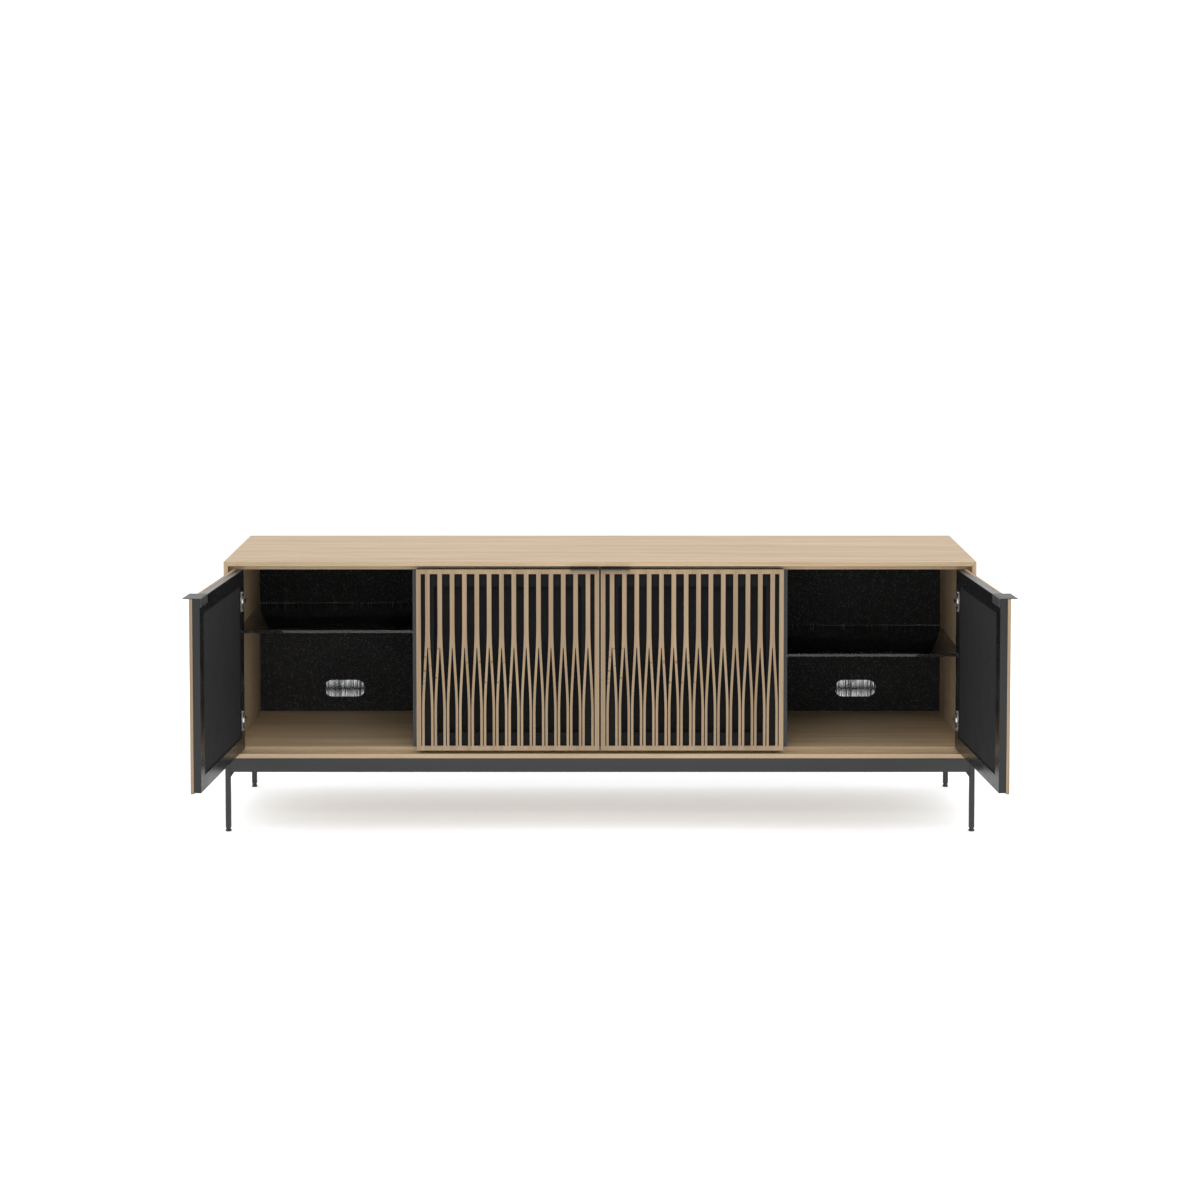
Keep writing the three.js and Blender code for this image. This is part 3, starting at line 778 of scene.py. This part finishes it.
# ---- Levelling feet ---------------------------------------------------------------------------
# A black glide with a rounded sole, turned from plastic, on a steel stem that screws up into the
# foot of each leg.

black_plastic = flecked("black_glide", (0.022, 0.022, 0.023), (0.030, 0.030, 0.031), 0.5, 900, 0.6, 0.2)
thread_pitch, thread_radius, thread_root = 0.00125, 0.0038, 0.0034
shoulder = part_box("front_left_leg")[0].z - seam
for end, side, _, _ in leg_places:
    name = f"{end}_{side}_foot"
    low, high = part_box(name)
    profile = [
        (0, 0), (0, 0.0066), (0.0004, 0.0074), (0.0012, 0.0079), (0.0020, 0.0080), (0.0044, 0.0080),
        (0.0050, 0.0077), (0.0056, 0.0068), (0.0060, 0.0056), (shoulder - 0.0004, 0.0055),
        (shoulder, 0.0050), (shoulder, thread_radius)]
    height = shoulder + 0.001
    while height < high.z - 0.001:
        profile += [(height, thread_root), (height + thread_pitch / 2, thread_radius)]
        height += thread_pitch
    profile += [(high.z - 0.0005, 0.0032), (high.z, 0.0026), (high.z, 0)]
    middle = (low + high) / 2
    place = Matrix.Translation((middle.x, middle.y, 0)) @ Matrix.Rotation(-math.pi / 2, 4, "Y")
    piece = made_piece(f"{end}_{side}_glide", turned(profile, 40), black_plastic, name,
                       place=place, smooth=0.6)
    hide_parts(name)

# ---- Door slats -------------------------------------------------------------------------------
# The face of each door is an oak board routed into slats that fork and spread near the foot. It is
# glued on the door's frame, and its arrises are eased by hand.

lattice_thickness = 0.008
stile_width, top_rail, bottom_rail = 0.012, 0.012, 0.012
slat_count, slat_width, prong_width, slit_width = 14, 0.0119, 0.00635, 0.0027
splay_top, splay_foot, crotch_height = 0.3376, 0.0956, 0.2776
pole_inset, pole_setback = 0.01125, 0.00073      # of the hinge axis, in the closed door's frame


def lattice_tree():
    """A board routed into slats that fork and spread near the foot, as a plate in X and Z."""
    tree, given, end_with = geometry_tree("routed_lattice", [
        ("Width", "Float", 0.489), ("Height", "Float", 0.4916),
        ("Thickness", "Float", 0.008), ("Stile", "Float", 0.012),
        ("Top Rail", "Float", 0.012), ("Bottom Rail", "Float", 0.012),
        ("Count", "Int", 14), ("Slat", "Float", 0.0119),
        ("Prong", "Float", 0.00635), ("Slit", "Float", 0.0027),
        ("Splay Top", "Float", 0.3376), ("Splay Foot", "Float", 0.0956),
        ("Crotch", "Float", 0.2776), ("Bit Radius", "Float", 0.001)])
    made, calc, vector = adder(tree)
    inner = calc("SUBTRACT", given["Width"], calc("MULTIPLY", given["Stile"], 2.0))
    pitch = calc("DIVIDE", calc("SUBTRACT", inner, given["Slit"]), given["Count"])
    spread = calc("MULTIPLY", calc("SUBTRACT", pitch, given["Slit"]), 0.5)
    slot_top = calc("SUBTRACT", given["Height"], given["Top Rail"])
    first_slot = calc("ADD", given["Stile"], calc("MULTIPLY", given["Slit"], 0.5))
    first_slat = calc("ADD", first_slot, calc("MULTIPLY", pitch, 0.5))

    parts = made("ShaderNodeSeparateXYZ", Vector=made("GeometryNodeInputPosition").outputs[0])
    row = calc("ADD", parts.outputs["Y"], 0.5)
    side = calc("MULTIPLY", parts.outputs["X"], 2.0)

    def half_slat(height):
        ramp = made("ShaderNodeMapRange", {"interpolation_type": "SMOOTHSTEP"}, Value=height,
                    From_Min=given["Splay Foot"], From_Max=given["Splay Top"], To_Min=spread,
                    To_Max=calc("MULTIPLY", given["Slat"], 0.5))
        return ramp.outputs["Result"]

    def outline(foot, top, width_at, rows):
        """The edge loop of a cut that has a half width at every height."""
        height = calc("ADD", foot, calc("MULTIPLY", row, calc("SUBTRACT", top, foot)))
        place = vector(calc("MULTIPLY", side, width_at(height)), height)
        sheet = made("GeometryNodeMeshGrid", Size_X=1.0, Size_Y=1.0, Vertices_X=2, Vertices_Y=rows)
        moved = made("GeometryNodeSetPosition", Geometry=sheet.outputs["Mesh"], Position=place)
        rim = made("GeometryNodeInputMeshEdgeNeighbors")
        only = made("FunctionNodeCompare", {"data_type": "INT", "operation": "EQUAL"},
                    i2=rim.outputs["Face Count"], i3=1)
        loop = made("GeometryNodeMeshToCurve", Mesh=moved.outputs["Geometry"],
                    Selection=only.outputs["Result"])
        return loop.outputs["Curve"]

    def slot_width(height):
        return calc("SUBTRACT", calc("MULTIPLY", pitch, 0.5), half_slat(height))

    def gap_at(height):
        return calc("SUBTRACT", half_slat(height), given["Prong"])

    tip = calc("ADD", given["Crotch"], gap_at(given["Crotch"]))

    def gap_width(height):
        return calc("MAXIMUM", calc("MINIMUM", gap_at(height), calc("SUBTRACT", tip, height)), 0.0004)

    def repeated(loop, first, count):
        line = made("GeometryNodeMeshLine", {"mode": "OFFSET"}, Count=count,
                    Start_Location=vector(first, 0.0), Offset=vector(pitch, 0.0))
        copies = made("GeometryNodeInstanceOnPoints", Points=line.outputs[0], Instance=loop)
        return made("GeometryNodeRealizeInstances", Geometry=copies.outputs[0]).outputs[0]

    def rounded(loop, radius):
        return made("GeometryNodeFilletCurve", {"mode": "POLY"}, Curve=loop, Count=3, Radius=radius,
                    Limit_Radius=True).outputs["Curve"]

    slots = repeated(outline(given["Bottom Rail"], slot_top, slot_width, 120),
                     calc("SUBTRACT", first_slat, calc("MULTIPLY", pitch, 0.5)),
                     calc("ADD", given["Count"], 1.0))
    gaps = repeated(outline(given["Bottom Rail"], tip, gap_width, 70), first_slat, given["Count"])
    now = made("ShaderNodeSeparateXYZ", Vector=made("GeometryNodeInputPosition").outputs[0])
    far_stile = calc("SUBTRACT", given["Width"], given["Stile"])
    within = calc("MINIMUM", calc("MAXIMUM", now.outputs["X"], given["Stile"]), far_stile)
    kept = made("GeometryNodeSetPosition", Geometry=slots, Position=vector(within, now.outputs["Y"]))
    board = made("GeometryNodeCurvePrimitiveQuadrilateral", Width=given["Width"], Height=given["Height"])
    centred = made("GeometryNodeTransform", Geometry=board.outputs[0],
                   Translation=vector(calc("MULTIPLY", given["Width"], 0.5),
                                      calc("MULTIPLY", given["Height"], 0.5)))
    together = made("GeometryNodeJoinGeometry")
    for loops in (centred.outputs[0], rounded(kept.outputs[0], given["Bit Radius"]), gaps):
        feed(together, i0=loops)
    face = made("GeometryNodeFillCurve", {"mode": "TRIANGLES"}, Curve=together.outputs[0])
    thick = made("GeometryNodeExtrudeMesh", {"mode": "FACES"}, Mesh=face.outputs[0], Offset=(0, 0, 1),
                 Offset_Scale=given["Thickness"], Individual=False)
    under = made("GeometryNodeFlipFaces", Mesh=face.outputs[0])
    closed = made("GeometryNodeJoinGeometry")
    for side_of_plate in (thick, under):
        feed(closed, i0=side_of_plate.outputs["Mesh"])
    welded = made("GeometryNodeMergeByDistance", Geometry=closed.outputs[0], Distance=0.000002)
    stood = made("GeometryNodeTransform", Geometry=welded.outputs[0], Rotation=(math.pi / 2, 0, 0),
                 Translation=vector(0.0, given["Thickness"]))
    end_with(stood.outputs[0])
    return tree


def across(u, hand, width):
    """A distance from the door's hinged edge, measured along X in the door's own frame."""
    return u if hand > 0 else width - u


slat_oak = oak("slat_oak", (0.325, 0.234, 0.143), (0.225, 0.153, 0.088))
lattice_grower = lattice_tree()
joint_of = {joint["name"]: joint for joint in frame["joints"]}
hands = (("left_door", 1), ("centre_left_door", 1), ("centre_right_door", -1), ("right_door", -1))
doors = []
for number, (door, hand) in enumerate(hands):
    joint = joint_of[f"{door}_swing"]
    low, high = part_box(f"{door}_lattice")
    spans = high - low
    opened = spans.x < spans.y
    turn = math.radians(joint["range_deg"][1]) if opened else 0.0
    width = (spans.y - lattice_thickness * abs(math.cos(turn))) / math.sin(turn) if opened else spans.x
    height = spans.z
    place = (Matrix.Translation(joint["pos_m"]) @ Matrix.Rotation(-hand * turn, 4, "Z")
             @ Matrix.Translation((-across(pole_inset, hand, width), -pole_setback, 0)))
    doors.append((door, hand, width, height, place))
    lattice = grown(lattice_grower, {
        "Width": width, "Height": height, "Thickness": lattice_thickness, "Stile": stile_width,
        "Top Rail": top_rail, "Bottom Rail": bottom_rail, "Count": slat_count, "Slat": slat_width,
        "Prong": prong_width, "Slit": slit_width, "Splay Top": splay_top, "Splay Foot": splay_foot,
        "Crotch": crotch_height, "Bit Radius": 0.001, "Material": slat_oak})
    shape = bmesh.new()
    shape.from_mesh(lattice)
    ease(shape, 0.00035, 1, 0.9)
    piece = made_piece(f"{door}_slats", shape, slat_oak, door, place, GRAIN_Z,
                       (0.7 * number, 0, 2.0 * number))
    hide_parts(f"{door}_lattice")

# ---- Door frames ------------------------------------------------------------------------------
# A black lacquered frame stands behind each lattice. Its opening has a rebate at the back for the
# cloth, and its hinged bar is bored for two cups. The faces behind the slats are matte, and their
# black is painted darker than the frame's, as painted shade for the hollow behind the slats.

door_thickness = 0.027
frame_front = lattice_thickness + seam
frame_bar, frame_foot = 0.040, 0.003
cloth_recess, cloth_thickness, cloth_margin = 0.0025, 0.002, 0.007
cloth_back = door_thickness - cloth_recess
cloth_front = cloth_back - cloth_thickness
cup_radius, cup_depth, cup_inset, hinge_height = 0.0175, 0.0115, 0.0215, 0.084
beyond_door = 0.04                               # where the cutters end, behind the door
frame_black = flecked(
    "frame_lacquer", (0.009, 0.009, 0.0095), (0.012, 0.012, 0.0125), 0.26, 800, 0.6, 0.04, 0.36)
# Matte black whose darker colour is painted shade for the hollow behind the slats.
painted_shade_black = flecked(
    "painted_shade_black", (0.0065, 0.0065, 0.007), (0.010, 0.010, 0.011), 0.9, 500, 0.6, 0.2, 0.2)


def panel(edge, width, height, y0, y1):
    """A block as large as the door less an edge on all sides."""
    return block((edge, y0, edge), (width - edge, y1, height - edge))


def round_bar(radius, x, z, y0, y1, steps=48):
    """A round bar along Y."""
    turns = [2 * math.pi * i / steps for i in range(steps)]
    return extruded([(x + radius * math.cos(a), z + radius * math.sin(a)) for a in turns], y0, y1, Y, X, Z)


for door, hand, width, height, place in doors:
    board = block((0, frame_front, frame_foot), (width, door_thickness, height))
    ease(board, 0.0008)
    frame_mesh = mesh_of(board)
    cuts = [panel(frame_bar, width, height, cloth_front - seam, beyond_door),
            panel(frame_bar + cloth_margin, width, height, 0, beyond_door)]
    for z in (hinge_height, height - hinge_height):
        cuts.append(round_bar(cup_radius + seam, across(cup_inset, hand, width), z,
                              door_thickness - cup_depth - seam, beyond_door))
    for cut in cuts:
        frame_mesh = combined(frame_mesh, mesh_of(cut), "DIFFERENCE")
    half_bar = frame_bar / 2
    # Faces behind the slats get the painted-shade black.
    painted_shade_faces = []
    for face in frame_mesh.polygons:
        x, y, z = face.center
        inside = half_bar < x < width - half_bar and half_bar < z < height - half_bar
        painted_shade_faces.append(y < frame_front + 0.0002 or (y < cloth_front and inside))
    backing = finish_mesh(f"{door}_backing", frame_mesh, frame_black, door, place)
    backing.data.materials.append(painted_shade_black)
    backing.data.polygons.foreach_set("material_index", [int(value) for value in painted_shade_faces])
    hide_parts(f"{door}_frame")

# ---- Speaker cloth ----------------------------------------------------------------------------
# A sheet of black acoustic cloth is stretched over a thin panel, which is pressed into the rebate
# at the back of the frame.


def woven_cloth():
    """Black acoustic cloth: a plain weave of fine threads with a little sheen."""
    group, given, end = tree_with(
        "plain_weave", "Shader", [("Position", "Vector", None), ("Threads", "Float", 1400.0)],
        [("Thread", "Float"), ("Wear", "Float")])
    made, calc, _ = adder(group)
    waves = [
        made("ShaderNodeTexWave", {"bands_direction": direction}, Vector=given["Position"],
             Scale=given["Threads"]).outputs["Fac"]
        for direction in ("X", "Z")]
    slow = made("ShaderNodeTexNoise", Vector=given["Position"], Scale=14.0, Detail=3.0)
    feed(end, Thread=calc("MULTIPLY", waves[0], waves[1]), Wear=slow.outputs["Fac"])

    material, shader = new_material("acoustic_cloth", (0.010, 0.010, 0.011), 0.9)
    made = adder(material.node_tree)[0]
    place = made("ShaderNodeTexCoord")
    weave = made("ShaderNodeGroup", {"node_tree": group}, Position=place.outputs["Object"],
                 Threads=300.0).outputs
    shade = made("ShaderNodeMix", {"data_type": "RGBA"}, i0=weave["Thread"],
                 i6=(0.006, 0.006, 0.0065, 1), i7=(0.013, 0.013, 0.014, 1))
    rough = made("ShaderNodeMapRange", Value=weave["Wear"], From_Min=0.3, From_Max=0.7, To_Min=0.84,
                 To_Max=0.96)
    relief = made("ShaderNodeBump", Height=weave["Thread"], Strength=0.3, Distance=0.0003)
    feed(shader, Base_Color=shade.outputs[2], Roughness=rough.outputs["Result"],
         Normal=relief.outputs["Normal"], Specular_IOR_Level=0.25)
    return material


cloth_material = woven_cloth()
for door, hand, width, height, place in doors:
    edge = frame_bar + seam
    cloth = panel(edge, width, height, cloth_back - 0.0012, cloth_back)
    piece = made_piece(f"{door}_speaker_cloth", cloth, cloth_material, door, place)
    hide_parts(f"{door}_cloth")

# ---- Hinge cups -------------------------------------------------------------------------------
# A nickelled steel cup is pressed into each bore of the frame. Its flange is held by two
# countersunk screws, above and below the cup.

flange_low, flange_thickness = door_thickness + seam, 0.0015
flange_top = flange_low + flange_thickness
cup_wall = 0.002
screw_offset, screw_radius, screw_height = 0.0235, 0.0035, 0.0012


def filleted(points, radii, steps=5):
    """A closed outline with each corner rounded by its own radius."""
    result = []
    for i, (point, radius) in enumerate(zip(points, radii)):
        corner = Vector(point)
        before = (Vector(points[i - 1]) - corner).normalized()
        after = (Vector(points[(i + 1) % len(points)]) - corner).normalized()
        if radius == 0:
            result.append(tuple(corner))
            continue
        half_angle = before.angle(after) / 2
        reach = radius / math.tan(half_angle)
        centre = corner + (before + after).normalized() * (radius / math.sin(half_angle))
        first, last = corner + before * reach - centre, corner + after * reach - centre
        turn = first.angle_signed(last)
        for step in range(steps + 1):
            result.append(tuple(centre + Matrix.Rotation(-turn * step / steps, 2) @ first))
    return result


def plate_outline(a, z, half_width, half_height, radius):
    """An upright plate with round corners, about its middle."""
    left, right, foot, top = a - half_width, a + half_width, z - half_height, z + half_height
    return filleted([(left, foot), (right, foot), (right, top), (left, top)], [radius] * 4)


def screw_head(x, y, z, radius, height):
    """A countersunk cross-head screw that looks along Y, out of a flange."""
    head = mesh_of(turned([(0, 0), (0, radius * 0.8), (height * 0.7, radius), (height, radius * 0.85),
                           (height, 0)], 24))
    for slim, wide in ((radius * 0.16, radius * 0.62), (radius * 0.62, radius * 0.16)):
        bit = block((height * 0.45, -slim, -wide), (height * 2, slim, wide))
        head = combined(head, mesh_of(bit), "DIFFERENCE")
    head.transform(Matrix.Translation((x, y, z)) @ Matrix.Rotation(math.pi / 2, 4, "Z"))
    return head


for door, hand, width, height, place in doors:
    middle = across(cup_inset, hand, width)
    cup_floor = door_thickness - cup_depth
    for level, z in (("lower", hinge_height), ("upper", height - hinge_height)):
        outline = plate_outline(middle, z, 0.011, 0.028, 0.005)
        cup = mesh_of(extruded(outline, flange_low, flange_top, Y, X, Z))
        body = round_bar(cup_radius, middle, z, cup_floor, flange_top)
        cup = combined(cup, mesh_of(body), "UNION")
        hollow = round_bar(cup_radius - cup_wall, middle, z, cup_floor + cup_wall, 0.05)
        cup = combined(cup, mesh_of(hollow), "DIFFERENCE")
        for offset in (-screw_offset, screw_offset):
            head = screw_head(middle, flange_low + 0.0012, z + offset, screw_radius, screw_height)
            cup = combined(cup, head, "UNION")
        piece = finish_mesh(f"{door}_{level}_cup", cup, nickel, door, place, smooth=0.6)
        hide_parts(f"{door}_{level}_hinge_cup")

# ---- Pulls ------------------------------------------------------------------------------------
# Each door has a pull bent from black steel sheet. It lies on the door's top edge, juts out in
# front and hooks down over the back of the frame.

pull_length, pull_thickness, pull_reach, pull_drop = 0.077, 0.0018, 0.017, 0.021
pull_black = flecked(
    "pull_powder_coat", (0.030, 0.031, 0.033), (0.045, 0.046, 0.048), 0.45, 1500, 0.62, 0.3)
for door, hand, width, height, place in doors:
    foot, head = height + seam, height + seam + pull_thickness
    hook_front = door_thickness + seam
    hook_back = hook_front + pull_thickness
    bend = filleted(
        [(-pull_reach, foot), (hook_front, foot), (hook_front, height - pull_drop),
         (hook_back, height - pull_drop), (hook_back, head), (-pull_reach, head)],
        [0.0005, 0.0004, 0.0005, 0.0005, 0.0021, 0.0005])
    ends = sorted((across(width - seam, hand, width), across(width - seam - pull_length, hand, width)))
    pull = extruded(bend, *ends, X, Y, Z)
    ease(pull, 0.0003, 1, 0.9)
    piece = made_piece(f"{door}_handle", pull, pull_black, door, place, smooth=0.5)
    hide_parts(f"{door}_pull")

# ---- Hinge arms -------------------------------------------------------------------------------
# Each hinge hangs on a nickelled steel arm, which clips on a cross plate that is screwed to the
# wall of the bay.

plate_y = rabbet + plate_setback
for door, hand in hands:
    for level in ("lower", "upper"):
        name = f"{door}_{level}_hinge_arm"
        low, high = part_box(name)
        middle = (low.z + high.z) / 2
        wall = low.x if hand > 0 else high.x
        plate = plate_outline(plate_y, middle, 0.010, 0.025, 0.004)
        arm = mesh_of(extruded(plate, *sorted((wall, wall + hand * 0.0025)), X, Y, Z))
        profile = filleted(
            [(0.0, plate_y - 0.010), (0.0, plate_y + 0.024), (0.0096, plate_y + 0.024),
             (0.016, plate_y - 0.010), (0.016, rabbet + 0.004), (0.004, rabbet + 0.004)],
            [0, 0.001, 0.003, 0.004, 0.003, 0.002])
        outline = [(wall + hand * x, y) for x, y in profile]
        bar = extruded(outline, middle - 0.0065, middle + 0.0065, Z, X, Y)
        ease(bar, 0.0009, 2, 0.9)
        arm = combined(arm, mesh_of(bar), "UNION")
        piece = finish_mesh(f"{door}_{level}_arm", arm, nickel, "case", smooth=0.6)
        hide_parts(name)

# ---- Hinge links ------------------------------------------------------------------------------
# A cranked strip of nickelled steel joins each arm to its cup. It is drawn in one piece for the door's
# pose, running from the arm to the cup and turning by degrees about the hinge axis between them.

link_half, link_rise, link_steps = 0.0011, 0.0055, 16
link_root = Vector((0.0135, 0.009))              # from the wall, and from the step behind the door
link_tip = Vector((0.01025, 0.0245))             # from the hinge axis, and from the case's front


def smooth_step(part):
    return part * part * (3 - 2 * part)


for door, hand in hands:
    joint = joint_of[f"{door}_swing"]
    centre = Vector(joint["pos_m"]).to_2d()
    full = hand * math.radians(joint["range_deg"][1])
    low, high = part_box(f"{door}_lattice")
    opened = high.x - low.x < high.y - low.y
    for level in ("lower", "upper"):
        arm_low, arm_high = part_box(f"{door}_{level}_hinge_arm")
        middle = (arm_low.z + arm_high.z) / 2
        wall = arm_low.x if hand > 0 else arm_high.x
        root = Vector((wall + hand * link_root.x, rabbet + link_root.y))
        tip = Vector((centre.x + hand * link_tip.x, case_front + link_tip.y))
        spine = []
        for step in range(link_steps + 1):
            part = step / link_steps
            swing = Matrix.Rotation(-full * smooth_step(part), 2)
            spine.append(centre + swing @ (root.lerp(tip, part) - centre))
        left, right = [], []
        for step, point in enumerate(spine):
            run = spine[min(step + 1, link_steps)] - spine[max(step - 1, 0)]
            side = Vector((-run.y, run.x)).normalized() * link_half
            pair = [point + side, point - side]
            if not opened:
                back = Matrix.Rotation(full * smooth_step(step / link_steps), 2)
                pair = [centre + back @ (corner - centre) for corner in pair]
            left.append(pair[0])
            right.append(pair[1])
        mesh = mesh_of(extruded(left + right[::-1], middle - link_rise, middle + link_rise, Z, X, Y))
        mesh.materials.append(nickel)
        piece = link_mesh(f"{door}_{level}_link", mesh)
        ends = (spine[0], spine[-1]) if opened else (root, tip)
        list(ends[0])
        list(ends[1])
        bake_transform(piece)

# ---- Finish -----------------------------------------------------------------------------------

low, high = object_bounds()
